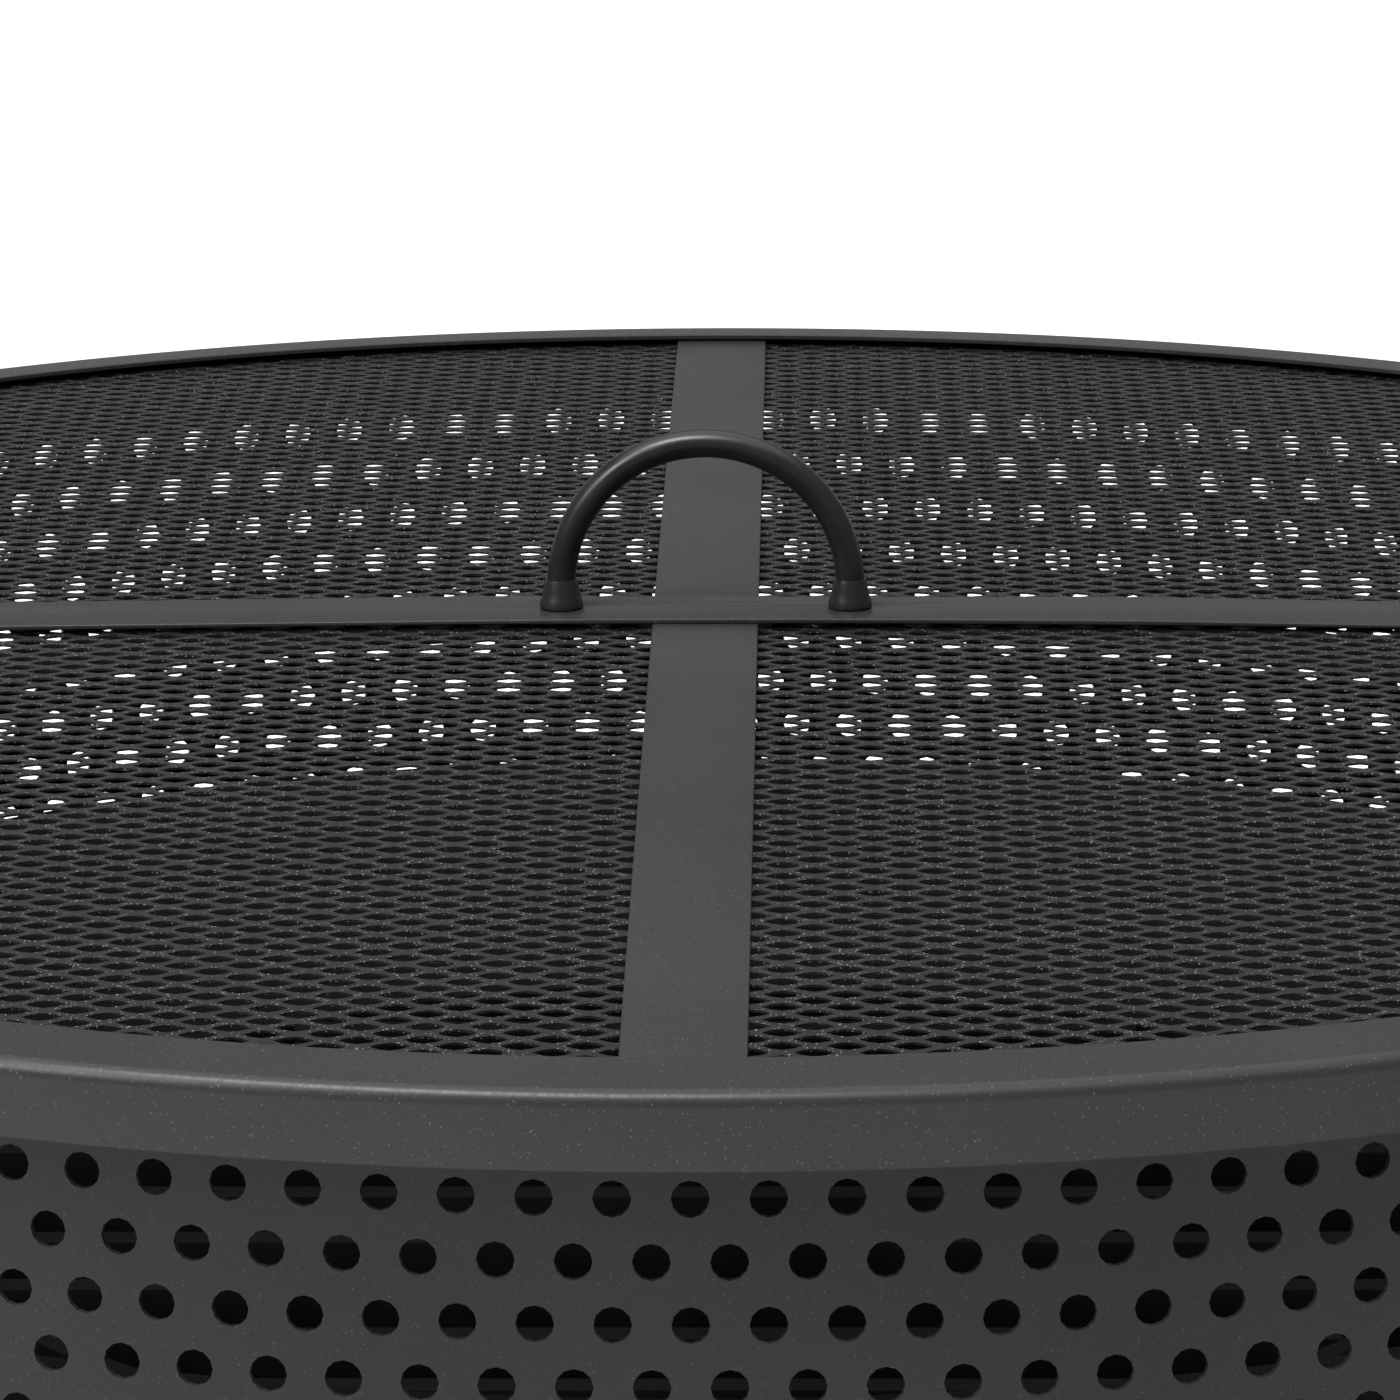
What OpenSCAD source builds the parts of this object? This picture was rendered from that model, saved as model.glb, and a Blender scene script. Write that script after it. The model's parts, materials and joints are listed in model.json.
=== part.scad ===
// Round steel fire pit with a lift-off spark screen, a lift-out bowl and a log grate.
// The origin is on the ground under the drum's centre. +Z is up and -Y is the front.

/* [Drum] */
// Outside diameter of the drum wall
drum_d = 740; // [640:10:840]
// Height of the drum wall
wall_h = 275.5; // [230:0.5:330]
// Sheet thickness of the drum wall
wall_t = 1.2; // [0.8:0.1:2]
// Height of the wall's lower edge above the ground
wall_lift = 90; // [70:5:130]
// Width of the strip behind each wall seam
seam_w = 40; // [30:2:56]
// Thickness of the seam strips
seam_t = 1.5; // [1:0.5:3]
// Number of rivet rows on each seam
rivet_rows = 4; // [2:1:6]

/* [Drum rings] */
// Thickness of the rim ring
rim_t = 1.5; // [1:0.1:2]
// How far the rim ring stands out from the wall
rim_out = 7; // [5:0.5:9]
// How far the rim ring reaches in from the wall's outside
rim_in = 10; // [6:0.5:14]
// Height of the rim ring's outer flange
rim_h = 12.8; // [10:0.1:18]
// Width of the inner ledge ring
ledge_w = 36; // [20:1:40]
// Thickness of the ledge ring
ledge_t = 2; // [1:0.5:4]
// Depth of the ledge ring below the rim's top
ledge_drop = 75; // [60:1:84]
// Width of the base ring's flange
base_ring_w = 24; // [16:1:40]
// Height of the base ring's upstand
base_ring_h = 12; // [8:1:20]
// Thickness of the base ring
base_ring_t = 2; // [1:0.5:3]
// Thickness of the base plate
base_plate_t = 1.5; // [1:0.5:3]

/* [Legs] */
// Width of a leg bar
leg_w = 40; // [30:2:50]
// Thickness of a leg bar
leg_t = 5; // [4:0.5:8]
// Depth of a leg's upper bolt below the bracket's shelf
bolt_drop = 22.2; // [18:0.2:30]
// Distance between a leg's two bolts
leg_bolt_gap = 28; // [24:1:36]
// Radius of a foot pad
pad_r = 28; // [22:1:36]
// Thickness of a foot pad
pad_t = 4; // [3:0.5:8]
// Radius of a leg bolt's shank
bolt_r = 4; // [3:0.5:5]

/* [Bowl] */
// Gap between the ledge ring's inner edge and the bowl's flange, seen from above
bowl_gap = 16.8; // [8:0.2:20]
// Width of the bowl's flange
bowl_flange_w = 12; // [10:1:14]
// Depth of the bowl's dish
bowl_depth = 105; // [80:1:120]
// Thickness of the bowl's metal
bowl_t = 1.5; // [1:0.5:3]
// Depth of the bowl's flange below the rim's top
bowl_drop = 108; // [100:1:120]
// Width of a bowl bracket
bracket_w = 30; // [26:1:40]
// Thickness of a bowl bracket
bracket_t = 3; // [2:0.5:4]

/* [Log grate] */
// Outside radius of the grate's ring
grate_r = 190; // [150:1:220]
// Thickness of the grate's ring
grate_ring_t = 6; // [4:0.5:8]
// Height of the grate's ring and bars
grate_h = 12; // [8:1:16]
// Width of a grate bar
bar_w = 8; // [6:0.5:12]
// Number of grate bars
bar_count = 9; // [5:2:11]
// Distance from one grate bar to the next
bar_pitch = 36; // [28:1:36]
// Width of a cross bar
cross_w = 10; // [8:1:14]
// Height of a cross bar
cross_h = 8; // [6:1:12]
// Radius of a grate foot
foot_r = 6; // [4:0.5:8]
// Height of the grate's feet
foot_h = 25; // [20:1:40]

/* [Lid] */
// Gap between the rim ring and the lid's skirt
lid_gap = 2.5; // [1.5:0.5:6]
// Thickness of the lid ring
lid_t = 1.5; // [1:0.1:2]
// Outside radius of the lid ring's rolled corner
lid_corner_r = 3.5; // [3:0.5:5]
// Height of the lid's skirt, from its lower edge to the rolled corner's top
skirt_h = 16.1; // [12:0.1:20]
// Width of the lid ring's flat part
lid_flat_w = 16; // [12:0.5:22]
// Slope of the lid ring's flat part, in degrees
lid_slope = 4.5; // [2:0.5:6]
// Thickness of the screen
screen_t = 0.8; // [0.6:0.1:1.6]
// Rise of the screen's dome
dome_rise = 5.5; // [4:0.5:14]
// Width of the flat straps
strap_w = 25; // [18:1:30]
// Thickness of the flat straps
strap_t = 1.2; // [1:0.1:2]

/* [Handle] */
// Distance between the handle's feet, centre to centre
handle_span = 68.5; // [60:0.5:90]
// Radius of the handle rod
rod_r = 3.5; // [3:0.1:4.5]
// Height of the handle's straight part
rod_leg_h = 5.5; // [5:0.5:12]
// Height of a handle ferrule
ferrule_h = 7; // [4:0.1:9]
// How far a ferrule's foot stands out from the handle rod
ferrule_flare = 1.7; // [1:0.1:3]
// Radius of a handle screw's shank
screw_r = 2; // [1.5:0.1:2.5]
// Radius of a handle washer
washer_r = 9; // [7:0.5:10]

/* [Hidden] */
$fn = 96;
FEET = 4;                 // legs, pads, brackets and grate feet
DOME_STEPS = 14;          // straight pieces from the dome's edge to its centre
cut = 1;                  // how far a cutting shape runs past what it cuts
touch_gap = 0.1;          // between a flat plate and the round wall, and round the handle rod
lift_gap = 0.3;           // under the grate's feet in the bowl, and under the bowl's flange
hole_gap = 0.4;           // round a bolt or screw in a plain hole
seam_gap = 1;             // between the two wall halves
plate_gap = 1;            // round the base plate
shelf_gap = 1.5;          // between a bracket's end and the bowl's dish
screen_inset = 1;         // from the rim ring's outside to the screen's edge
bend_gap = 2;             // from the rim ring's bore to where the screen starts to rise
strap_lap = 4.5;          // how far a strap reaches under the lid ring
screw_bite = 4;           // how far a handle screw reaches past the rod's straight part
ferrule_lip = 0.3;        // thickness of a ferrule at its top
weld = 0.01;              // how far a head reaches into its shank
BOWL_SIDES = 720;         // of the circles that shape the dish
BOLT_HEAD = 1.9;          // radius of a bolt's head, in shank radii
BOLT_HEAD_TOP = 0.6;      // radius of that head's top, in head radii
NUT_REACH = 1.85;         // radius over a nut's corners, in shank radii
RIVET_R = 2.4;
RIVET_HEAD = 1.8;         // radius of a rivet's head, in shank radii
RIVET_TAIL = 1.5;         // radius of a rivet's clenched end, in shank radii
SCREW_HEAD = 2.1;         // radius of a screw's head, in shank radii
SCREW_HEAD_FOOT = 0.7;    // radius of that head's foot, in head radii

// Heights
wall_top = wall_lift + wall_h;
rim_top = wall_top + rim_t;
ledge_top = rim_top - ledge_drop;
bowl_top = rim_top - bowl_drop;
bowl_seat = bowl_top - bowl_t;
shelf_top = bowl_seat - lift_gap;
base_seat = wall_lift + base_ring_t;
strip_low = base_seat + base_ring_h;
strip_high = ledge_top - ledge_t;
bolt_heights = [shelf_top - bolt_drop - leg_bolt_gap, shelf_top - bolt_drop];

// Radii
wall_r = drum_d / 2;
wall_in = wall_r - wall_t;
rim_r = wall_r + rim_out;
rim_bore = wall_r - rim_in;
lid_r = rim_r + lid_gap + lid_t;
bowl_r = wall_in - ledge_w - bowl_gap;
ferrule_r = rod_r + ferrule_flare;
leg_in = wall_r + touch_gap;
leg_out = leg_in + leg_t;
pad_place = leg_in + leg_t / 2;
bracket_face = sqrt(pow(wall_in, 2) - pow(bracket_w / 2, 2)) - touch_gap;

// Bowl: a part of a ball under a flat flange
dish_r = bowl_r - bowl_flange_w;
ball_r = (pow(dish_r, 2) + pow(bowl_depth, 2)) / (2 * bowl_depth);
ball_z = bowl_top - bowl_depth + ball_r;
function bowl_floor(r) = ball_z - sqrt(pow(ball_r, 2) - pow(r, 2));

// Log grate
foot_place = grate_r - grate_ring_t / 2;
foot_z = bowl_floor(foot_place + foot_r) + lift_gap;
grate_z = foot_z + foot_h;
grate_in = grate_r - grate_ring_t;
cross_place = grate_in / 2;
function half_chord(r, offset) = sqrt(pow(r, 2) - pow(offset, 2));

// Lid: the screen's flat edge lies on the rim, the straps on the screen, the ring on both
screen_r = rim_r - screen_inset;
dome_r = rim_bore - bend_gap;
screen_edge = rim_top + screen_t;
flat_out = lid_r - lid_corner_r;
flat_in = flat_out - lid_flat_w;
flat_rise = lid_flat_w * tan(lid_slope);
strap_end = max(flat_in, dome_r) + strap_lap;
strap_edge = screen_edge + strap_t;
corner_top = strap_edge + lid_t - (flat_out - strap_end) * tan(lid_slope);
skirt_z = corner_top - skirt_h;
function dome_z(r, edge, rise) = edge + (r >= dome_r ? 0 : rise * (1 - pow(r / dome_r, 2)));
upper_rise = dome_rise + strap_t;
handle_z = dome_z(handle_span / 2 - ferrule_r, strap_edge, upper_rise);
screw_grip = rod_leg_h + screw_bite;
washer_t = 1.2;
screw_head_z = dome_z(handle_span / 2 + washer_r, rim_top, dome_rise) - washer_t;
screw_head_h = 2.6;
screw_head_r = SCREW_HEAD * screw_r;

SIDES = ["left", "right"];

COAT = "#4b4c4e";
SOOT = "#2b2b2c";
BLACK = "#1b1b1c";
STEEL = "#6f7173";

// A flat ring or a tube with its lower face at z
module ring(r_out, r_in, z, h) {
    translate([0, 0, z])
        difference() {
            cylinder(h = h, r = r_out);
            translate([0, 0, -cut]) cylinder(h = h + 2 * cut, r = r_in);
        }
}

// Puts its children at a place round the drum, with +X pointing outward
module at_foot(i) {
    rotate([0, 0, 45 + (i - 1) * 360 / FEET]) children();
}

// A rod that runs radially, from r0 to r1 at height z
module radial_rod(r0, r1, z, r) {
    translate([r0, 0, z]) rotate([0, 90, 0]) cylinder(h = r1 - r0, r = r);
}

// Cuts the four pairs of bolt holes
module bolt_holes(r0, r1) {
    for (z = bolt_heights)
        radial_rod(r0, r1, z, bolt_r + hole_gap);
}

// Repeats its children at each rivet of the seam on one side: -1 is left, 1 is right
module at_rivets(side) {
    step = (strip_high - strip_low) / rivet_rows;
    turn = asin(seam_w / 4 / wall_r);
    for (k = [0:rivet_rows - 1], t = [-turn, turn])
        rotate([0, 0, (side > 0 ? 0 : 180) + t])
            translate([0, 0, strip_low + (k + 0.5) * step])
                children();
}

// One rolled half of the wall: front is -1, back is 1
module drum_wall(side) {
    color(COAT)
        difference() {
            intersection() {
                ring(wall_r, wall_in, wall_lift, wall_h);
                translate([-wall_r - cut, side > 0 ? seam_gap / 2 : -wall_r - cut, wall_lift - cut])
                    cube([2 * (wall_r + cut), wall_r + cut - seam_gap / 2, wall_h + 2 * cut]);
            }
            for (i = [1:FEET])
                at_foot(i) bolt_holes(wall_in - cut, wall_r + cut);
            for (s = [-1, 1])
                at_rivets(s) radial_rod(wall_in - cut, wall_r + cut, 0, RIVET_R);
        }
}

module rim_ring() {
    color(COAT) {
        rotate_extrude()
            polygon([
                [rim_bore, wall_top], [rim_r - rim_t, wall_top], [rim_r - rim_t, rim_top - rim_h],
                [rim_r, rim_top - rim_h], [rim_r, rim_top], [rim_bore, rim_top]
            ]);
    }
}

module ledge_ring() {
    color(COAT) ring(wall_in, wall_in - ledge_w, ledge_top - ledge_t, ledge_t);
}

module base_ring() {
    color(COAT)
        rotate_extrude()
            polygon([
                [wall_in - base_ring_w, wall_lift], [wall_in, wall_lift],
                [wall_in, base_seat + base_ring_h], [wall_in - base_ring_t, base_seat + base_ring_h],
                [wall_in - base_ring_t, base_seat], [wall_in - base_ring_w, base_seat]
            ]);
}

module base_plate() {
    color(COAT)
        translate([0, 0, base_seat])
            cylinder(h = base_plate_t, r = wall_in - base_ring_t - plate_gap);
}

module seam_strip(side) {
    color(COAT)
        difference() {
            intersection() {
                ring(wall_in, wall_in - seam_t, strip_low, strip_high - strip_low);
                translate([side > 0 ? 0 : -wall_r, -seam_w / 2, 0]) cube([wall_r, seam_w, rim_top]);
            }
            at_rivets(side) radial_rod(wall_in - seam_t - cut, wall_r + cut, 0, RIVET_R);
        }
}

module seam_rivets(side) {
    head_h = 1.4;
    color(COAT)
        at_rivets(side) {
            radial_rod(wall_in - seam_t, wall_r, 0, RIVET_R);
            translate([wall_r - weld, 0, 0]) rotate([0, 90, 0])
                cylinder(h = head_h, r1 = RIVET_R * RIVET_HEAD, r2 = RIVET_R);
            radial_rod(wall_in - seam_t - head_h, wall_in - seam_t, 0, RIVET_R * RIVET_TAIL);
        }
}

module leg(i) {
    color(COAT)
        at_foot(i)
            difference() {
                translate([leg_in, 0, 0]) rotate([90, 0, 90])
                    linear_extrude(leg_t) {
                        translate([-leg_w / 2, pad_t]) square([leg_w, bolt_heights[1] - pad_t]);
                        translate([0, bolt_heights[1]]) circle(leg_w / 2);
                    }
                bolt_holes(leg_in - cut, leg_out + cut);
            }
}

module foot_pad(i) {
    color(BLACK) at_foot(i) translate([pad_place, 0, 0]) cylinder(h = pad_t, r = pad_r);
}

module bowl_bracket(i) {
    low = bolt_heights[0] - bracket_w / 2;
    reach = dish_r + shelf_gap;
    plate_in = bracket_face - bracket_t;
    color(COAT)
        at_foot(i)
            difference() {
                union() {
                    translate([plate_in, -bracket_w / 2, low])
                        cube([bracket_t, bracket_w, shelf_top - low]);
                    translate([reach, -bracket_w / 2, shelf_top - bracket_t])
                        cube([bracket_face - reach, bracket_w, bracket_t]);
                }
                bolt_holes(plate_in - cut, wall_r);
            }
}

// Dome-headed bolts, from outside the leg through the wall and the bracket
module leg_bolts(i) {
    tail = 9;
    band_h = 1.5;
    dome_h = 2.5;
    head_r = bolt_r * BOLT_HEAD;
    color(STEEL)
        at_foot(i)
            for (z = bolt_heights) {
                radial_rod(bracket_face - bracket_t - tail, leg_out, z, bolt_r);
                radial_rod(leg_out, leg_out + band_h, z, head_r);
                translate([leg_out + band_h, 0, z]) rotate([0, 90, 0])
                    cylinder(h = dome_h, r1 = head_r, r2 = head_r * BOLT_HEAD_TOP);
            }
}

module leg_nuts(i) {
    nut_h = 6.5;
    color(STEEL)
        at_foot(i)
            for (z = bolt_heights)
                translate([bracket_face - bracket_t - nut_h, 0, z]) rotate([0, 90, 0])
                    difference() {
                        cylinder(h = nut_h, r = bolt_r * NUT_REACH, $fn = 6);
                        translate([0, 0, -cut]) cylinder(h = nut_h + 2 * cut, r = bolt_r);
                    }
}

module fire_bowl() {
    color(SOOT)
        rotate_extrude() {
            translate([dish_r, bowl_seat]) square([bowl_flange_w, bowl_t]);
            intersection() {
                translate([0, ball_z])
                    difference() {
                        circle(ball_r + bowl_t, $fn = BOWL_SIDES);
                        circle(ball_r, $fn = BOWL_SIDES);
                    }
                translate([0, bowl_top - bowl_depth - 2 * bowl_t])
                    square([dish_r + bowl_t, bowl_depth + 2 * bowl_t]);
            }
        }
}

module grate_ring() {
    color(SOOT) ring(grate_r, grate_in, grate_z, grate_h);
}

module grate_bar(i) {
    y = (i - (bar_count + 1) / 2) * bar_pitch;
    half = half_chord(grate_in, abs(y) + bar_w / 2);
    color(SOOT) translate([-half, y - bar_w / 2, grate_z]) cube([2 * half, bar_w, grate_h]);
}

module grate_cross_bar(side) {
    half = half_chord(grate_in, cross_place + cross_w / 2);
    color(SOOT)
        translate([side * cross_place - cross_w / 2, -half, grate_z - cross_h])
            cube([cross_w, 2 * half, cross_h]);
}

module grate_foot(i) {
    color(SOOT) at_foot(i) translate([foot_place, 0, foot_z]) cylinder(h = foot_h, r = foot_r);
}

// The lid's rolled edge: a skirt, a round corner and a flat part that rises inward
module lid_ring() {
    color(COAT)
        rotate_extrude() {
            translate([lid_r - lid_t, skirt_z]) square([lid_t, skirt_h - lid_corner_r]);
            translate([flat_out, corner_top - lid_corner_r])
                intersection() {
                    difference() {
                        circle(lid_corner_r);
                        circle(lid_corner_r - lid_t);
                    }
                    square(lid_corner_r + cut);
                }
            polygon([
                [flat_out, corner_top - lid_t], [flat_out, corner_top],
                [flat_in, corner_top + flat_rise], [flat_in, corner_top + flat_rise - lid_t]
            ]);
        }
}

// A shallow dome's outline, t thick, from its centre to the end of its flat edge
function dome_line(edge, rise, end) = concat(
    [for (k = [0:DOME_STEPS]) [dome_r * k / DOME_STEPS, dome_z(dome_r * k / DOME_STEPS, edge, rise)]],
    [[end, edge]]
);
function turned(line) = [for (k = [len(line) - 1:-1:0]) line[k]];
function lowered(line, t) = [for (p = line) p - [0, t]];
function mirrored(line) = [for (p = line) [-p[0], p[1]]];

module screw_holes() {
    for (side = [-1, 1])
        translate([side * handle_span / 2, 0, rim_top - cut])
            cylinder(h = handle_z - rim_top + 2 * cut, r = screw_r + hole_gap);
}

module screen() {
    line = dome_line(screen_edge, dome_rise, screen_r);
    color(COAT)
        difference() {
            rotate_extrude() polygon(concat(line, turned(lowered(line, screen_t))));
            screw_holes();
        }
}

// A strap along X, its top at the given height at the ends
module bent_strap(edge, rise) {
    half = dome_line(edge, rise, strap_end);
    top = concat(turned(mirrored(half)), [for (k = [1:len(half) - 1]) half[k]]);
    translate([0, strap_w / 2, 0]) rotate([90, 0, 0])
        linear_extrude(strap_w) polygon(concat(top, turned(lowered(top, strap_t))));
}

module strap_lower() {
    color(COAT) rotate([0, 0, 90]) bent_strap(strap_edge, dome_rise);
}

module strap_upper() {
    color(COAT)
        difference() {
            bent_strap(strap_edge, upper_rise);
            screw_holes();
        }
}

module handle_rod() {
    color(BLACK)
        translate([0, 0, handle_z])
            difference() {
                union() {
                    translate([0, 0, rod_leg_h]) rotate([90, 0, 0])
                        rotate_extrude(angle = 180) translate([handle_span / 2, 0]) circle(rod_r);
                    for (side = [-1, 1])
                        translate([side * handle_span / 2, 0, 0]) cylinder(h = rod_leg_h, r = rod_r);
                }
                for (side = [-1, 1])
                    translate([side * handle_span / 2, 0, -cut]) cylinder(h = screw_grip + cut, r = screw_r);
            }
}

module handle_ferrule(side) {
    color(BLACK)
        translate([side * handle_span / 2, 0, handle_z])
            difference() {
                cylinder(h = ferrule_h, r1 = ferrule_r, r2 = rod_r + touch_gap + ferrule_lip);
                translate([0, 0, -cut]) cylinder(h = ferrule_h + 2 * cut, r = rod_r + touch_gap);
            }
}

module handle_washer(side) {
    color(STEEL)
        translate([side * handle_span / 2, 0, 0])
            ring(washer_r, screw_r + hole_gap, screw_head_z, washer_t);
}

module handle_screw(side) {
    color(STEEL)
        translate([side * handle_span / 2, 0, 0]) {
            translate([0, 0, screw_head_z]) cylinder(h = handle_z + screw_grip - screw_head_z, r = screw_r);
            translate([0, 0, screw_head_z - screw_head_h])
                cylinder(h = screw_head_h, r1 = screw_head_r * SCREW_HEAD_FOOT, r2 = screw_head_r);
        }
}

drum_wall(-1);  // drum_wall_front
drum_wall(1);  // drum_wall_back
rim_ring();
ledge_ring();
base_ring();
base_plate();
seam_strip(-1);  // seam_strip_left
seam_strip(1);  // seam_strip_right
seam_rivets(-1);  // seam_rivets_left
seam_rivets(1);  // seam_rivets_right
for (i = [1:FEET]) {
    leg(i);
    foot_pad(i);
    bowl_bracket(i);
    leg_bolts(i);
    leg_nuts(i);
    grate_foot(i);
}
fire_bowl();
grate_ring();
for (i = [1:bar_count])
    grate_bar(i);
grate_cross_bar(-1);  // grate_cross_bar_left
grate_cross_bar(1);  // grate_cross_bar_right
lid_ring();
screen();
strap_lower();
strap_upper();
handle_rod();
handle_ferrule(-1);  // handle_ferrule_left
handle_ferrule(1);  // handle_ferrule_right
handle_washer(-1);  // handle_washer_left
handle_washer(1);  // handle_washer_right
handle_screw(-1);  // handle_screw_left
handle_screw(1);  // handle_screw_right
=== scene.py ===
import json
import math

import bmesh
import bpy
from mathutils import Matrix, Vector


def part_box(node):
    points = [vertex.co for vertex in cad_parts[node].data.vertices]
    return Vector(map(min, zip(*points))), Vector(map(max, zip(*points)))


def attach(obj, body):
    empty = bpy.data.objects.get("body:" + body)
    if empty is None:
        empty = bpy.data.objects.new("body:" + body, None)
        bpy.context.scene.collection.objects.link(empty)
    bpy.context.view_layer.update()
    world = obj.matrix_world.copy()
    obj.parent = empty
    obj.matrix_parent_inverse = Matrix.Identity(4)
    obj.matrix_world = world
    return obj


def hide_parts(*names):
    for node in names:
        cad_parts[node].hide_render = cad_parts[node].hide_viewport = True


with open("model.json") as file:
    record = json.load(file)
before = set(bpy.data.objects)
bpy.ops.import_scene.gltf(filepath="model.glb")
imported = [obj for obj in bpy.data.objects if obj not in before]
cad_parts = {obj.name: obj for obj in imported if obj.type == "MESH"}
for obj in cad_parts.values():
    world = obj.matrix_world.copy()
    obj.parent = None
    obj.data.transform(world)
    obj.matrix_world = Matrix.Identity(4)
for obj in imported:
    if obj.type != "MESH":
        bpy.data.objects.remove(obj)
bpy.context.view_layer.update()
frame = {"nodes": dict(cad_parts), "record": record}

MM = 0.001

# The perforated sheet: rows of round holes, every second row half a pitch across
HOLES_ROUND = 154
HOLE_ROWS = 19
HOLE_SIDES = 12
ROW_PITCH = 12.74 * MM
TOP_ROW_DROP = 20.6 * MM
HOLE_SHIFT = 0.2
HOLE_SHARE = 0.5
SHEET = 1.2 * MM
SEAM_MARGIN = 5

# The expanded metal of the spark screen
DIAMOND_LONG = 12.7 * MM
DIAMOND_SHORT = 8.3 * MM
KNUCKLE = 2.5 * MM
BOND = 2.2 * MM
STRAND = 0.5 * MM
STRAND_TILT = 0.12 * MM
SCREEN_SHEET = 0.8 * MM
DOME_MARGIN = 18 * MM

# The lid's edge, straps and handle
LID_SHEET = 1.5 * MM
LID_CORNER = 3.5 * MM
LID_FLAT = 16 * MM
LID_SLOPE = math.radians(4.5)
ROD = 3.4 * MM

# Sheet and edge sizes inside the drum
RIM_REACH = 10 * MM
LEDGE_WIDTH = 36 * MM
BOWL_SHEET = 1.5 * MM
BOWL_FLANGE = 12 * MM

# The camera: metres and degrees
CAMERA_PLACE = (0.024, -1.7864, 0.7904)
CAMERA_TURN = 0.817
CAMERA_PITCH = 13.759
CAMERA_ROLL = -0.253
SENSOR = 36
LENS = 198.62

SPIN_STEPS = 320
BOWL_STEPS = 192
FERRULE_STEPS = 48


# ---------------------------------------------------------------- camera, light, floor

def make_camera():
    """A long lens in front of the pit, a little above it, that looks down over the lid."""
    data = bpy.data.cameras.new("studio_camera")
    data.sensor_width = SENSOR
    data.lens = LENS
    data.clip_end = 60
    camera = bpy.data.objects.new("studio_camera", data)
    bpy.context.scene.collection.objects.link(camera)
    turn = Matrix.Rotation(math.radians(CAMERA_TURN), 4, "Z")
    tip = Matrix.Rotation(math.radians(90 - CAMERA_PITCH), 4, "X")
    roll = Matrix.Rotation(math.radians(CAMERA_ROLL), 4, "Z")
    camera.matrix_world = Matrix.Translation(CAMERA_PLACE) @ turn @ tip @ roll
    bpy.context.scene.camera = camera


def soft_light(name, place, target, size, power):
    data = bpy.data.lights.new(name, "AREA")
    data.shape = "RECTANGLE"
    data.size = size[0]
    data.size_y = size[1]
    data.energy = power
    light = bpy.data.objects.new(name, data)
    bpy.context.scene.collection.objects.link(light)
    aim = (Vector(target) - Vector(place)).to_track_quat("-Z", "Y")
    light.matrix_world = Matrix.Translation(place) @ aim.to_matrix().to_4x4()


def sky_light(strength):
    """A broad light from straight above that keeps the floor even."""
    data = bpy.data.lights.new("overhead", "SUN")
    data.energy = strength
    data.angle = math.radians(84)
    light = bpy.data.objects.new("overhead", data)
    bpy.context.scene.collection.objects.link(light)


def make_studio():
    world = bpy.data.worlds.new("studio")
    world.use_nodes = True
    back = world.node_tree.nodes["Background"]
    back.inputs["Color"].default_value = (1, 1, 1, 1)
    back.inputs["Strength"].default_value = 0.3
    bpy.context.scene.world = world
    bpy.context.scene.view_settings.view_transform = "Standard"
    soft_light("key_softbox", (-0.5, -0.9, 2.4), (0, 0, 0.37), (1.2, 0.5), 62)
    soft_light("left_softbox", (-1.7, -1.4, 1.9), (0, 0, 0.35), (0.8, 1.2), 52)
    sky_light(2.9)
    bm = bmesh.new()
    bmesh.ops.create_grid(bm, x_segments=1, y_segments=1, size=14)
    floor = as_object("studio_floor", bm, [floor_paper()])


# ---------------------------------------------------------------- mesh helpers

def as_object(name, bm, materials, smooth_angle=None):
    """Turns a bmesh into a linked object, smooth except across edges sharper than the angle."""
    mesh = bpy.data.meshes.new(name)
    bm.to_mesh(mesh)
    bm.free()
    for material in materials:
        mesh.materials.append(material)
    if smooth_angle is not None:
        mesh.shade_smooth()
        mesh.set_sharp_from_angle(angle=math.radians(smooth_angle))
    piece = bpy.data.objects.new(name, mesh)
    bpy.context.scene.collection.objects.link(piece)
    return piece


def settle(piece, body, slot, *nodes):
    """Rides the piece on its body in place of the CAD nodes."""
    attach(piece, body)
    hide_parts(*nodes)


def arc(centre, radius, start, end, steps):
    """Points (r, z) round a centre, from one angle to another in degrees."""
    turns = [math.radians(start + (end - start) * k / steps) for k in range(steps + 1)]
    return [(centre[0] + radius * math.cos(t), centre[1] + radius * math.sin(t)) for t in turns]


def turned(name, outline, material, smooth_angle=35, steps=SPIN_STEPS):
    """Spins a closed outline of (r, z) points round Z."""
    bm = bmesh.new()
    verts = [bm.verts.new((r, 0, z)) for r, z in outline]
    edges = [bm.edges.new((verts[k - 1], verts[k])) for k in range(len(verts))]
    bmesh.ops.spin(
        bm, geom=verts + edges, cent=(0, 0, 0), axis=(0, 0, 1),
        angle=math.tau, steps=steps, use_merge=True,
    )
    bmesh.ops.remove_doubles(bm, verts=bm.verts, dist=1e-6)
    bmesh.ops.recalc_face_normals(bm, faces=bm.faces)
    return as_object(name, bm, [material], smooth_angle)


def softened(node, material, width=0.4 * MM):
    """A copy of a CAD node with its sharp edges rounded."""
    bm = bmesh.new()
    bm.from_mesh(frame["nodes"][node].data)
    bmesh.ops.remove_doubles(bm, verts=bm.verts, dist=1e-6)
    bmesh.ops.dissolve_limit(
        bm, angle_limit=math.radians(0.5), use_dissolve_boundaries=False,
        verts=bm.verts, edges=bm.edges,
    )
    sharp = [e for e in bm.edges if e.is_manifold and e.calc_face_angle(0) > math.radians(40)]
    bmesh.ops.bevel(
        bm, geom=sharp, offset=width, segments=2, profile=0.5, affect="EDGES",
        clamp_overlap=True, material=-1,
    )
    bmesh.ops.recalc_face_normals(bm, faces=bm.faces)
    return as_object(node + "_soft", bm, [material], 35)


# ---------------------------------------------------------------- materials

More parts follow.
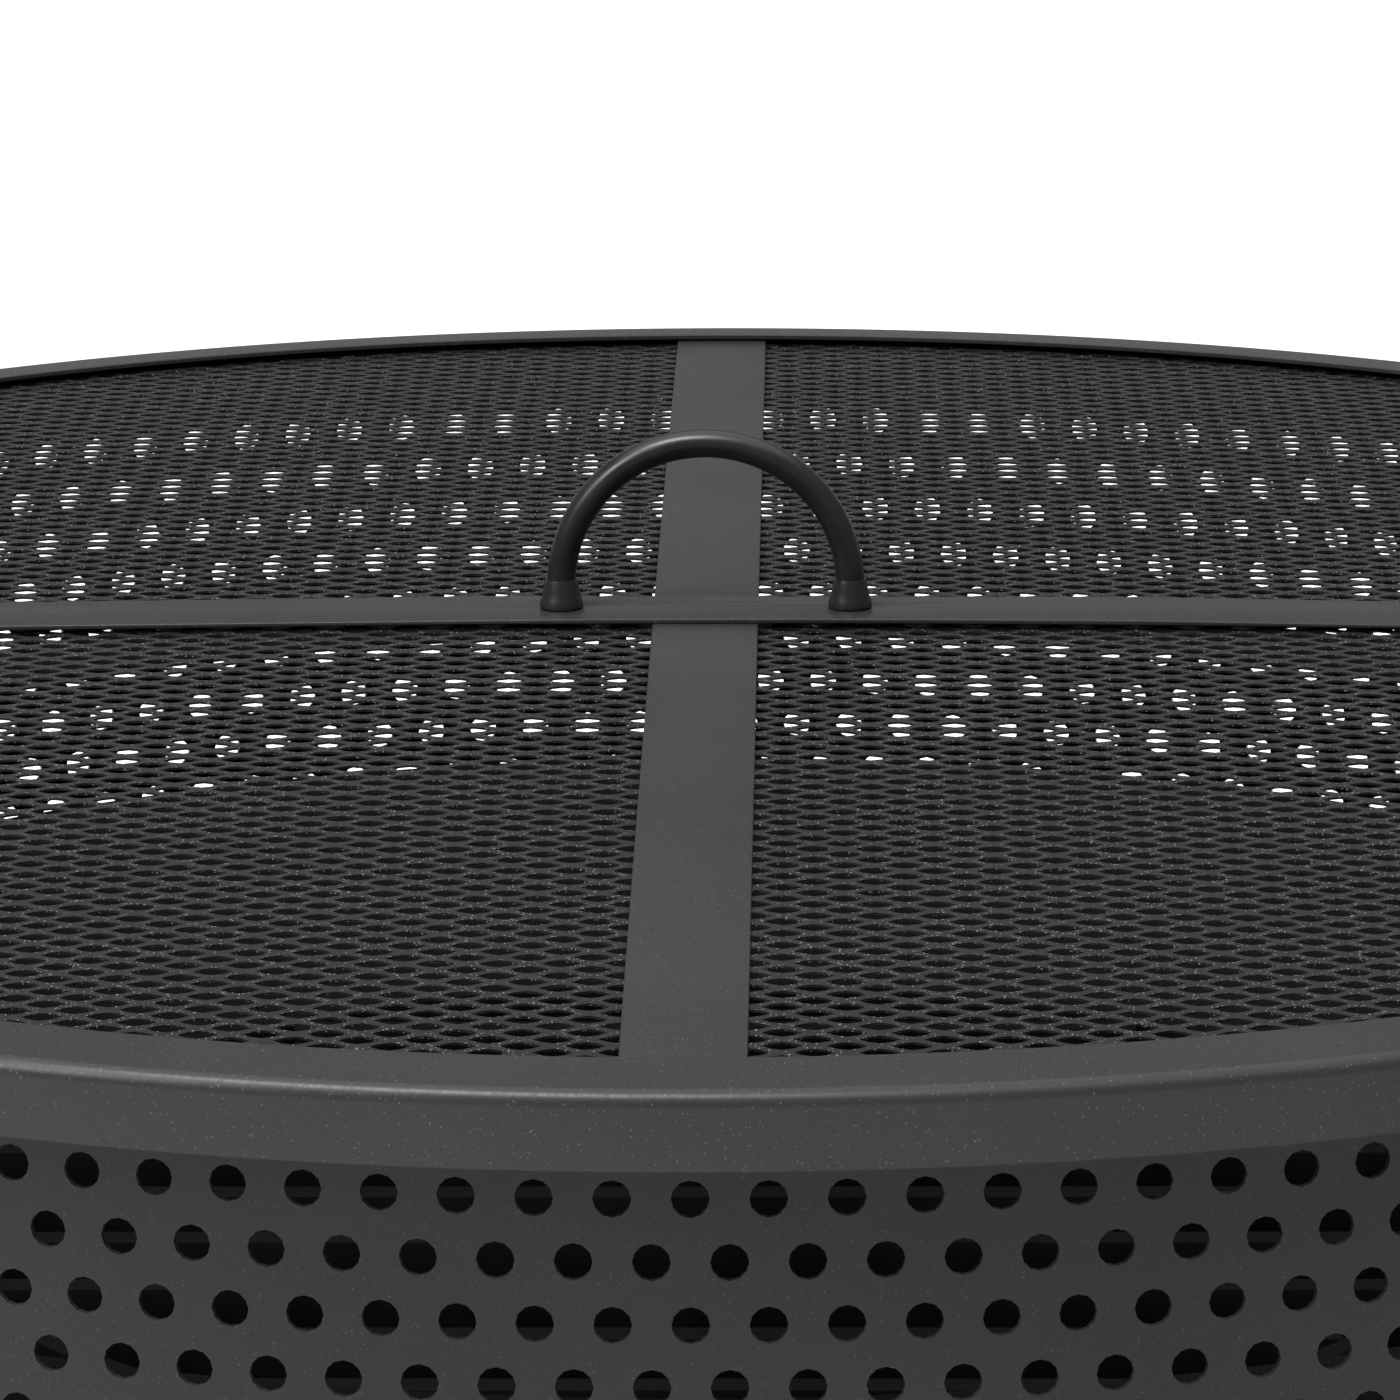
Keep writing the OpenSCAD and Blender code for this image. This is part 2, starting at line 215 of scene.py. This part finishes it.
def new_material(name):
    material = bpy.data.materials.new(name)
    material.use_nodes = True
    nodes = material.node_tree.nodes
    return material, nodes, material.node_tree.links, nodes["Principled BSDF"]


def place_of(nodes):
    return nodes.new("ShaderNodeTexCoord").outputs["Object"]


def noise_of(nodes, links, place, scale, detail=2.0):
    texture = nodes.new("ShaderNodeTexNoise")
    texture.inputs["Scale"].default_value = scale
    texture.inputs["Detail"].default_value = detail
    links.new(place, texture.inputs["Vector"])
    return texture.outputs["Fac"]


def ramp_of(nodes, links, value, stops):
    """A colour ramp: stops are (position, grey or colour)."""
    ramp = nodes.new("ShaderNodeValToRGB")
    while len(ramp.color_ramp.elements) < len(stops):
        ramp.color_ramp.elements.new(0.5)
    for element, (position, colour) in zip(ramp.color_ramp.elements, stops):
        element.position = position
        element.color = colour if len(colour) == 4 else (*colour, 1)
    links.new(value, ramp.inputs["Fac"])
    return ramp.outputs["Color"]


def powder_coat(name, shade, flake, roughness, flake_share=0.012, peel=0.04 * MM):
    """Textured satin powder coat: a soft orange peel, uneven tone and fine bright flakes."""
    material, nodes, links, shader = new_material(name)
    shader.inputs["Specular IOR Level"].default_value = 0.2
    place = place_of(nodes)
    tone = noise_of(nodes, links, place, 14, 3)
    fine = noise_of(nodes, links, place, 1100, 2)
    dark = [c * 0.88 for c in shade]
    light = [c * 1.12 for c in shade]
    body = ramp_of(nodes, links, tone, [(0.3, dark), (0.7, light)])
    cells = nodes.new("ShaderNodeTexVoronoi")
    cells.inputs["Scale"].default_value = 3800
    links.new(place, cells.inputs["Vector"])
    grey = nodes.new("ShaderNodeSeparateColor")
    links.new(cells.outputs["Color"], grey.inputs["Color"])
    start = 1 - flake_share
    stops = [(start, (0, 0, 0)), (start + flake_share / 2, (1, 1, 1))]
    spots = ramp_of(nodes, links, grey.outputs["Red"], stops)
    mixed = nodes.new("ShaderNodeMix")
    mixed.data_type = "RGBA"
    links.new(spots, mixed.inputs["Factor"])
    links.new(body, mixed.inputs["A"])
    mixed.inputs["B"].default_value = (*flake, 1)
    links.new(mixed.outputs["Result"], shader.inputs["Base Color"])
    sheen = ramp_of(nodes, links, fine, [(0.3, (roughness - 0.05,) * 3), (0.7, (roughness + 0.06,) * 3)])
    links.new(sheen, shader.inputs["Roughness"])
    bump = nodes.new("ShaderNodeBump")
    bump.inputs["Strength"].default_value = 0.5
    bump.inputs["Distance"].default_value = peel
    links.new(fine, bump.inputs["Height"])
    links.new(bump.outputs["Normal"], shader.inputs["Normal"])
    return material


def satin_black():
    """Smooth satin enamel with faint smudges."""
    material, nodes, links, shader = new_material("satin_black_enamel")
    shader.inputs["Specular IOR Level"].default_value = 0.3
    shade = (0.006, 0.006, 0.0065)
    place = place_of(nodes)
    smudge = noise_of(nodes, links, place, 60, 4)
    worn = [c * 1.6 for c in shade]
    links.new(ramp_of(nodes, links, smudge, [(0.3, shade), (0.75, worn)]), shader.inputs["Base Color"])
    sheen = ramp_of(nodes, links, smudge, [(0.3, (0.24,) * 3), (0.7, (0.4,) * 3)])
    links.new(sheen, shader.inputs["Roughness"])
    bump = nodes.new("ShaderNodeBump")
    bump.inputs["Strength"].default_value = 0.3
    bump.inputs["Distance"].default_value = 0.05 * MM
    links.new(noise_of(nodes, links, place, 500, 2), bump.inputs["Height"])
    links.new(bump.outputs["Normal"], shader.inputs["Normal"])
    return material


def painted_shade_dusty_paint(name, shade, shine):
    """Matt stove paint or coat: a very dark base that is painted shade for the inside of the pit, with
    random lighter patches and a little ash dust.
    """
    material, nodes, links, shader = new_material(name)
    shader.inputs["Specular IOR Level"].default_value = shine
    place = place_of(nodes)
    dust = noise_of(nodes, links, place, 26, 6)
    paint = [c * 1.5 for c in shade]
    ash = [c * 2.8 for c in shade]
    colour = ramp_of(nodes, links, dust, [(0.35, shade), (0.62, paint), (0.8, ash)])
    links.new(colour, shader.inputs["Base Color"])
    sheen = ramp_of(nodes, links, dust, [(0.3, (0.55,) * 3), (0.75, (0.85,) * 3)])
    links.new(sheen, shader.inputs["Roughness"])
    bump = nodes.new("ShaderNodeBump")
    bump.inputs["Strength"].default_value = 0.5
    bump.inputs["Distance"].default_value = 0.15 * MM
    links.new(noise_of(nodes, links, place, 380, 3), bump.inputs["Height"])
    links.new(bump.outputs["Normal"], shader.inputs["Normal"])
    return material


def dark_steel():
    """Dark plated fixings with faint turning marks."""
    material, nodes, links, shader = new_material("dark_plated_steel")
    place = place_of(nodes)
    marks = noise_of(nodes, links, place, 700, 3)
    shader.inputs["Metallic"].default_value = 1.0
    metal = ramp_of(nodes, links, marks, [(0.3, (0.1, 0.1, 0.105)), (0.7, (0.2, 0.2, 0.21))])
    links.new(metal, shader.inputs["Base Color"])
    sheen = ramp_of(nodes, links, marks, [(0.3, (0.3,) * 3), (0.7, (0.5,) * 3)])
    links.new(sheen, shader.inputs["Roughness"])
    return material


def floor_paper():
    material, nodes, links, shader = new_material("studio_paper")
    grain = noise_of(nodes, links, place_of(nodes), 3, 2)
    paper = ramp_of(nodes, links, grain, [(0, (0.93, 0.93, 0.93)), (1, (0.95, 0.95, 0.95))])
    links.new(paper, shader.inputs["Base Color"])
    shader.inputs["Roughness"].default_value = 0.9
    return material


# ---------------------------------------------------------------- perforated wall

def hole_cell(bm, low, width, height):
    """One flat cell of sheet, low corner at (u, z), with a round hole in its middle."""
    u, z = low
    top = z + height
    border = [(u, z), (u + width / 2, z), (u + width, z), (u + width, top), (u + width / 2, top), (u, top)]
    outer = [bm.verts.new((x, 0, y)) for x, y in border]
    frame_edges = [bm.edges.new((outer[k - 1], outer[k])) for k in range(len(outer))]
    centre = Matrix.Translation((u + width / 2, 0, z + height / 2)) @ Matrix.Rotation(math.pi / 2, 4, "X")
    made = bmesh.ops.create_circle(
        bm, cap_ends=False, segments=HOLE_SIDES, radius=width * HOLE_SHARE / 2, matrix=centre,
    )
    hole_edges = {e for v in made["verts"] for e in v.link_edges}
    bmesh.ops.triangle_fill(
        bm, use_beauty=True, use_dissolve=False,
        edges=frame_edges + list(hole_edges), normal=(0, -1, 0),
    )


def plain_cells(bm, first, last, step, low_z, high_z):
    """Plain sheet between two half-pitch columns."""
    width = (last - first) * step
    place = Matrix.Translation(((first + last) / 2 * step, 0, (low_z + high_z) / 2))
    size = Matrix.Diagonal((width / 2, 1, (high_z - low_z) / 2, 1))
    bmesh.ops.create_grid(
        bm, x_segments=last - first, y_segments=1, size=1,
        matrix=place @ size @ Matrix.Rotation(math.pi / 2, 4, "X"),
    )


def wall_half(name, node, facing, material, inside):
    """A rolled half of the wall. facing is the direction of its middle, in degrees from -Y."""
    low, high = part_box(node)
    radius = high.x
    half_step = math.pi * radius / HOLES_ROUND
    columns = HOLES_ROUND
    top_row = high.z - TOP_ROW_DROP
    cells = (columns - 2 * SEAM_MARGIN) // 2 - 1
    bm = bmesh.new()
    for row in range(HOLE_ROWS):
        z = top_row - (row + 0.5) * ROW_PITCH
        hole_cell(bm, ((SEAM_MARGIN + 1 - row % 2) * half_step, z), 2 * half_step, ROW_PITCH)
    strip = bm.verts[:] + bm.edges[:] + bm.faces[:]
    for copy in range(1, cells):
        made = bmesh.ops.duplicate(bm, geom=strip)
        moved = [g for g in made["geom"] if isinstance(g, bmesh.types.BMVert)]
        bmesh.ops.translate(bm, verts=moved, vec=(2 * half_step * copy, 0, 0))
    for row in range(HOLE_ROWS):
        z = top_row - (row + 0.5) * ROW_PITCH
        start = SEAM_MARGIN + 1 - row % 2
        plain_cells(bm, 0, start, half_step, z, z + ROW_PITCH)
        plain_cells(bm, start + 2 * cells, columns, half_step, z, z + ROW_PITCH)
    plain_cells(bm, 0, columns, half_step, top_row + ROW_PITCH / 2, high.z)
    plain_cells(bm, 0, columns, half_step, low.z, top_row - (HOLE_ROWS - 0.5) * ROW_PITCH)
    bmesh.ops.remove_doubles(bm, verts=bm.verts, dist=0.02 * MM)
    gap = 0.5 * MM / radius
    span = math.pi - 2 * gap
    for vert in bm.verts:
        steps = vert.co.x / half_step
        steps += HOLE_SHIFT * min(1, steps / SEAM_MARGIN, (columns - steps) / SEAM_MARGIN)
        turn = gap + steps / columns * span - math.pi / 2 + math.radians(facing)
        vert.co = (radius * math.sin(turn), -radius * math.cos(turn), vert.co.z)
    point_out(bm)
    bmesh.ops.solidify(bm, geom=bm.faces[:], thickness=SHEET)
    hold_radii(bm, radius)
    # The inner face takes the second material: near-black painted shade for the inside of the drum.
    for face in bm.faces:
        middle = face.calc_center_median()
        if math.hypot(middle.x, middle.y) < radius - 0.9 * SHEET:
            face.material_index = 1
    piece = as_object(name, bm, [material, inside], 40)
    settle(piece, "pit", "charcoal_coat", node)


def point_out(bm):
    """Turns every face of a sheet away from the Z axis."""
    inward = []
    for face in bm.faces:
        middle = face.calc_center_median()
        if face.normal.dot(Vector((middle.x, middle.y, 0))) < 0:
            inward.append(face)
    bmesh.ops.reverse_faces(bm, faces=inward)
    bm.normal_update()


def hold_radii(bm, radius):
    """Puts each side of a thickened sheet exactly on its own radius."""
    lengths = [math.hypot(v.co.x, v.co.y) for v in bm.verts]
    middle = (min(lengths) + max(lengths)) / 2
    for vert, length in zip(bm.verts, lengths):
        want = radius if length > middle else radius - SHEET
        vert.co.x *= want / length
        vert.co.y *= want / length


# ---------------------------------------------------------------- spark screen

def diamond_cell(bm, x, y):
    """One diamond of expanded metal: a lozenge of sheet with a lens-shaped opening."""
    half_long = DIAMOND_LONG / 2
    half_short = DIAMOND_SHORT / 2
    tip = half_long - BOND
    high = half_short - KNUCKLE / 2
    rim = [(half_long, 0), (0, half_short), (-half_long, 0), (0, -half_short)]
    lens = [
        (tip, 0), (tip * 0.55, high * 0.64), (0, high), (-tip * 0.55, high * 0.64),
        (-tip, 0), (-tip * 0.55, -high * 0.64), (0, -high), (tip * 0.55, -high * 0.64),
    ]
    outer = [bm.verts.new((x + u, y + v, 0)) for u, v in rim]
    inner = [bm.verts.new((x + u, y + v, -STRAND_TILT * v / high)) for u, v in lens]
    for k in range(4):
        near = inner[2 * k:2 * k + 3] if k < 3 else [inner[6], inner[7], inner[0]]
        ahead = outer[(k + 1) % 4]
        bm.faces.new((outer[k], near[1], near[0]))
        bm.faces.new((outer[k], ahead, near[1]))
        bm.faces.new((ahead, near[2], near[1]))


def screen_quarter(name, right, back, dome, material):
    """A quarter of the screen, pressed to the dome."""
    bm = bmesh.new()
    across = int(dome["edge"] / DIAMOND_LONG) + 1
    deep = int(dome["edge"] / DIAMOND_SHORT) + 1
    for half in (0, 0.5):
        for i in range(across):
            for j in range(deep):
                x = right * (i + half) * DIAMOND_LONG
                y = back * (j + half) * DIAMOND_SHORT
                skip = half == 0 and ((i == 0 and right < 0) or (j == 0 and back < 0))
                if skip or math.hypot(x, y) > dome["edge"] - 0.55 * DIAMOND_LONG:
                    continue
                diamond_cell(bm, x, y)
    bmesh.ops.remove_doubles(bm, verts=bm.verts, dist=0.02 * MM)
    bmesh.ops.recalc_face_normals(bm, faces=bm.faces)
    upside = sum(f.normal.z for f in bm.faces) < 0
    if upside:
        bmesh.ops.reverse_faces(bm, faces=bm.faces)
    for vert in bm.verts:
        vert.co.z += dome_height(dome, math.hypot(vert.co.x, vert.co.y)) - STRAND_TILT
    bm.normal_update()
    bmesh.ops.solidify(bm, geom=bm.faces[:], thickness=STRAND)
    top = max(v.co.z for v in bm.verts)
    lift = min(0.0, dome["top"] - top)
    bmesh.ops.translate(bm, verts=bm.verts, vec=(0, 0, lift))
    return as_object(name, bm, [material], 50)


def dome_height(dome, r):
    """Height of the screen's upper side, r from the middle."""
    inside = max(0.0, 1 - (r / dome["flat_from"]) ** 2)
    return dome["seat"] + (dome["top"] - dome["seat"]) * inside


def make_screen(material):
    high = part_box("screen")[1]
    rim_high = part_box("rim_ring")[1]
    sheet = SCREEN_SHEET
    dome = {
        "edge": high.x,
        "seat": rim_high.z + sheet,
        "top": high.z,
        "flat_from": high.x - DOME_MARGIN,
    }
    names = {(-1, -1): "front_left", (1, -1): "front_right", (-1, 1): "back_left", (1, 1): "back_right"}
    for (right, back), corner in names.items():
        piece = screen_quarter("screen_" + corner, right, back, dome, material)
        settle(piece, "lid", "screen_coat", "screen")


# ---------------------------------------------------------------- lid, straps, handle

def make_lid_edge(material):
    """The lid's rolled edge: skirt, round corner and a flat that rises inward."""
    low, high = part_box("lid_ring")
    out = high.x
    flat_out = out - LID_CORNER
    flat_in = flat_out - LID_FLAT
    rise = LID_FLAT * math.tan(LID_SLOPE)
    top = high.z - rise
    corner = (flat_out, top - LID_CORNER)
    nick = 0.3 * MM
    outline = [(out - LID_SHEET + nick, low.z), (out - nick, low.z), (out, low.z + nick)]
    outline += arc(corner, LID_CORNER, 0, 90 - math.degrees(LID_SLOPE) / 2, 10)
    outline += [(flat_in + nick, high.z - nick * math.tan(LID_SLOPE)), (flat_in, high.z - nick)]
    outline += [(flat_in, high.z - LID_SHEET + nick), (flat_in + nick, high.z - LID_SHEET)]
    outline += arc(corner, LID_CORNER - LID_SHEET, 90, 0, 6)
    outline += [(out - LID_SHEET, low.z + nick)]
    piece = turned("lid_edge", outline, material)
    settle(piece, "lid", "charcoal_coat", "lid_ring")


def make_handle(material):
    """Half-round rod on two flared ferrules."""
    low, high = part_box("handle_rod")
    reach = high.x - ROD - 0.1 * MM
    foot = low.z
    leg = high.z - low.z - (high.x - low.x) / 2
    bm = bmesh.new()
    bmesh.ops.create_circle(
        bm, cap_ends=True, segments=32, radius=ROD,
        matrix=Matrix.Translation((reach, 0, foot)),
    )
    face = bm.faces[:]
    bmesh.ops.reverse_faces(bm, faces=face)
    bend = bmesh.ops.extrude_face_region(bm, geom=face, use_keep_orig=True)
    moved = [g for g in bend["geom"] if isinstance(g, bmesh.types.BMVert)]
    bmesh.ops.translate(bm, verts=moved, vec=(0, 0, leg))
    tip = [g for g in bend["geom"] if isinstance(g, bmesh.types.BMFace)]
    spun = bmesh.ops.spin(
        bm, geom=tip, cent=(0, 0, foot + leg), axis=(0, -1, 0), angle=math.pi, steps=64,
    )
    last = spun["geom_last"]
    end = bmesh.ops.extrude_face_region(bm, geom=[g for g in last if isinstance(g, bmesh.types.BMFace)])
    moved = [g for g in end["geom"] if isinstance(g, bmesh.types.BMVert)]
    bmesh.ops.translate(bm, verts=moved, vec=(0, 0, -leg))
    bmesh.ops.remove_doubles(bm, verts=bm.verts, dist=1e-6)
    inner = [f for f in bm.faces if all(len(e.link_faces) > 2 for e in f.edges)]
    bmesh.ops.delete(bm, geom=inner, context="FACES_ONLY")
    bmesh.ops.recalc_face_normals(bm, faces=bm.faces)
    piece = as_object("handle_bow", bm, [material], 40)
    settle(piece, "lid", "satin_black", "handle_rod")
    for side, word in ((-1, "left"), (1, "right")):
        make_ferrule(word, side * reach, material)


def make_ferrule(word, x, material):
    low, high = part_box("handle_ferrule_" + word)
    flare = (high.x - low.x) / 2
    tall = high.z - low.z
    bore = ROD + 0.05 * MM
    outline = [(bore, 0), (flare - 0.3 * MM, 0), (flare, 0.3 * MM), (flare, 1.0 * MM)]
    outline += [(flare - 0.45 * MM, 2.4 * MM), (flare - 0.9 * MM, 4.2 * MM)]
    outline += [(ROD + 0.6 * MM, tall - 0.6 * MM), (ROD + 0.4 * MM, tall), (bore, tall)]
    piece = turned("handle_collar_" + word, outline, material, steps=FERRULE_STEPS)
    piece.data.transform(Matrix.Translation(((low.x + high.x) / 2, 0, low.z)))
    settle(piece, "lid", "satin_black", "handle_ferrule_" + word)


# ---------------------------------------------------------------- rings, bowl and small parts

def make_rim(material):
    low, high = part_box("rim_ring")
    wall_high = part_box("drum_wall_front")[1]
    out = high.x
    sheet = high.z - wall_high.z
    bore = wall_high.x - RIM_REACH
    nick = 0.4 * MM
    outline = [(bore, wall_high.z), (out - sheet, wall_high.z), (out - sheet, low.z), (out - nick, low.z)]
    outline += [(out, low.z + nick)] + arc((out - 1.2 * MM, high.z - 1.2 * MM), 1.2 * MM, 0, 90, 5)
    outline += [(bore, high.z)]
    settle(turned("rim_edge", outline, material), "pit", "charcoal_coat", "rim_ring")


def make_ledge(material):
    low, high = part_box("ledge_ring")
    out = high.x
    bore = out - LEDGE_WIDTH
    nick = 0.3 * MM
    outline = [(bore + nick, low.z), (out, low.z), (out, high.z), (bore + nick, high.z)]
    outline += [(bore, high.z - nick), (bore, low.z + nick)]
    settle(turned("ledge", outline, material), "pit", "charcoal_coat", "ledge_ring")


def make_bowl(material):
    """A dished bowl with a flange rolled over at its edge."""
    low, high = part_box("fire_bowl")
    sheet = BOWL_SHEET
    out = high.x
    dish = out - BOWL_FLANGE
    depth = high.z - low.z - sheet
    ball = (dish ** 2 + depth ** 2) / (2 * depth)
    centre = high.z - depth + ball
    steep = math.degrees(math.asin(dish / ball))
    inside = arc((0, centre), ball, -90, -90 + steep, 40)
    outside = arc((0, centre), ball + sheet, -90 + steep * 0.985, -90, 40)
    bead = arc((out - sheet / 2, high.z - sheet / 2), sheet / 2, 90, -90, 6)
    outline = inside[1:] + bead + outside[:-1]
    bm = bmesh.new()
    points = [inside[0]] + outline + [outside[-1]]
    verts = [bm.verts.new((max(r, 0), 0, z)) for r, z in points]
    edges = [bm.edges.new((verts[k], verts[k + 1])) for k in range(len(verts) - 1)]
    bmesh.ops.spin(
        bm, geom=verts + edges, cent=(0, 0, 0), axis=(0, 0, 1),
        angle=math.tau, steps=BOWL_STEPS, use_merge=True,
    )
    bmesh.ops.remove_doubles(bm, verts=bm.verts, dist=2e-6)
    bmesh.ops.recalc_face_normals(bm, faces=bm.faces)
    settle(as_object("bowl", bm, [material], 35), "fire_bowl", "high_heat_black", "fire_bowl")


def make_small_parts(finishes):
    """Every other CAD node, with its edges rounded and its finish on."""
    done = {
        "drum_wall_front", "drum_wall_back", "screen", "lid_ring", "handle_rod", "handle_ferrule_left",
        "handle_ferrule_right", "rim_ring", "ledge_ring", "fire_bowl",
    }
    slots = {part["node"]: part["material_slot"] for part in frame["record"]["subparts"]}
    bodies = frame["record"]["behaviour"]["bodies"]
    for body, nodes in bodies.items():
        for node in nodes:
            if node in done:
                continue
            piece = softened(node, finishes[slots[node]])
            settle(piece, body, slots[node], node)


make_camera()
make_studio()
# Painted shade: the wall's inner face and the ledge get a near-black coat, far darker than the real paint,
# that stands for the shade inside the drum.
INSIDE_PAINTED_SHADE = painted_shade_dusty_paint("inside_painted_shade_coat", (0.003, 0.003, 0.003), 0.06)
COAT = powder_coat("charcoal_powder_coat", (0.0156, 0.0157, 0.0159), (0.06, 0.06, 0.06), 0.35)
# Painted shade: the wall's coat is about 40% darker than the lid's coat of the same paint, for the shade
# the wall lies in under the lid's skirt.
WALL_COAT_PAINTED_SHADE = powder_coat("wall_powder_coat_painted_shade", (0.0095, 0.0096, 0.0097), (0.035, 0.035, 0.035), 0.44)
FINISHES = {
    "charcoal_coat": COAT,
    "screen_coat": powder_coat("screen_powder_coat", (0.007, 0.007, 0.0071), (0.16, 0.16, 0.16), 0.4, 0.03),
    "satin_black": satin_black(),
    # Painted shade: the bowl's stove paint is darker than real paint, for the shade deep inside the pit.
    "high_heat_black": painted_shade_dusty_paint("high_heat_black", (0.0032, 0.0031, 0.003), 0.06),
    "dark_fixings": dark_steel(),
}
# Both halves wear the darkened wall coat outside (painted shade under the skirt) and the near-black
# painted-shade coat inside.
wall_half("wall_sheet_front", "drum_wall_front", 0, WALL_COAT_PAINTED_SHADE, INSIDE_PAINTED_SHADE)
wall_half("wall_sheet_back", "drum_wall_back", 180, WALL_COAT_PAINTED_SHADE, INSIDE_PAINTED_SHADE)
make_rim(COAT)
# The ledge wears the near-black inside coat, which is painted shade.
make_ledge(INSIDE_PAINTED_SHADE)
make_bowl(FINISHES["high_heat_black"])
make_screen(FINISHES["screen_coat"])
make_lid_edge(COAT)
make_handle(FINISHES["satin_black"])
make_small_parts(FINISHES)
